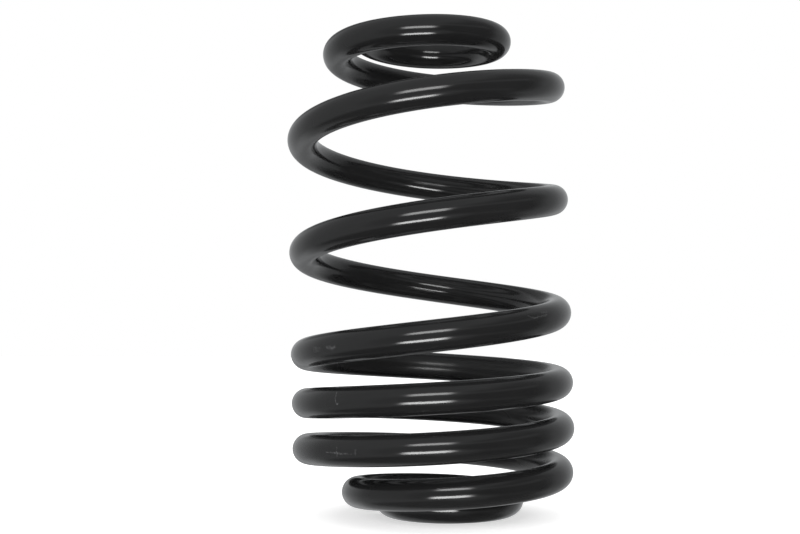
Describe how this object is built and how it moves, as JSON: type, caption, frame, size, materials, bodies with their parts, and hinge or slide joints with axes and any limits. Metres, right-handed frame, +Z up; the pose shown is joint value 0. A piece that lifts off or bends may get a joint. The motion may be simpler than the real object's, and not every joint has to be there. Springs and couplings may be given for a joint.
{
  "type": "compression spring",
  "caption": "Barrel-shaped steel compression spring in gloss black, close-wound below and open above, with a small tucked-in coil at each end.",
  "frame": {"origin": "centre of the foot coil, on the surface that the spring stands on", "axes": "+Z up along the spring from foot to head; -Y is the side that the picture shows, and the foot's cut tip bears 173.5 degrees anticlockwise from +X"},
  "size_m": [0.1445, 0.1414, 0.251],
  "materials": {
    "black_coat": "gloss"
  },
  "bodies": {
    "root": {"spring": "black_coat"}
  },
  "joints": []
}
